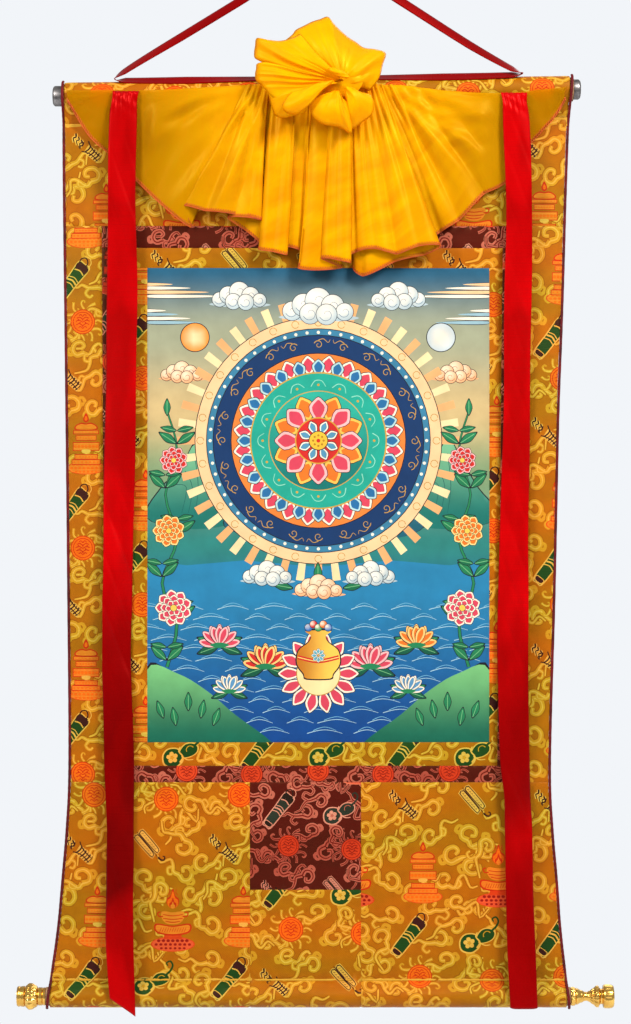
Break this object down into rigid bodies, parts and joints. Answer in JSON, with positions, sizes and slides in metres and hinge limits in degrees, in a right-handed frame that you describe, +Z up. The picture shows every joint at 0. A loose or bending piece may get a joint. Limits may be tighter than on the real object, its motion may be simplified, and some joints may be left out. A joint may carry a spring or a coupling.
{
  "type": "thangka scroll painting with its top rod and bottom roller",
  "caption": "Hanging scroll: a painting framed in figured brocade on two rods, with a gathered silk veil, two long ribbons and a ribbon to hang it by.",
  "frame": {"origin": "the top of the hanging ribbon, where it lies over the wall's hook", "axes": "+Z up, -Y out of the painted front, +X to the right as seen from the front"},
  "size_m": [0.7272, 0.0832, 1.295],
  "materials": {
    "gold_brocade": "figured satin brocade",
    "maroon_brocade": "figured satin brocade",
    "picture": "matt printed canvas",
    "binding": "plain weave piping",
    "red_satin": "satin ribbon",
    "yellow_silk": "thin crisp silk, overlocked hem",
    "wood": "plain turned dowel",
    "steel": "satin",
    "brass": "polished"
  },
  "bodies": {
    "root": {"top_panel": "gold_brocade", "left_border": "gold_brocade", "right_border": "gold_brocade", "inner_top": "gold_brocade", "inner_bottom": "gold_brocade", "inner_left": "gold_brocade", "inner_right": "gold_brocade", "bottom_left_panel": "gold_brocade", "bottom_right_panel": "gold_brocade", "door_lower_panel": "gold_brocade", "door_panel": "maroon_brocade", "maroon_top": "maroon_brocade", "maroon_bottom": "maroon_brocade", "maroon_left": "maroon_brocade", "maroon_right": "maroon_brocade", "painting_canvas": "picture", "binding_left": "binding", "binding_right": "binding", "ribbon_left": "red_satin", "ribbon_right": "red_satin", "hanging_ribbon": "red_satin", "veil": "yellow_silk", "top_rod": "wood", "bottom_roller": "wood", "top_cap_left": "steel", "top_cap_right": "steel", "knob_left": "brass", "knob_right": "brass"}
  },
  "joints": []
}
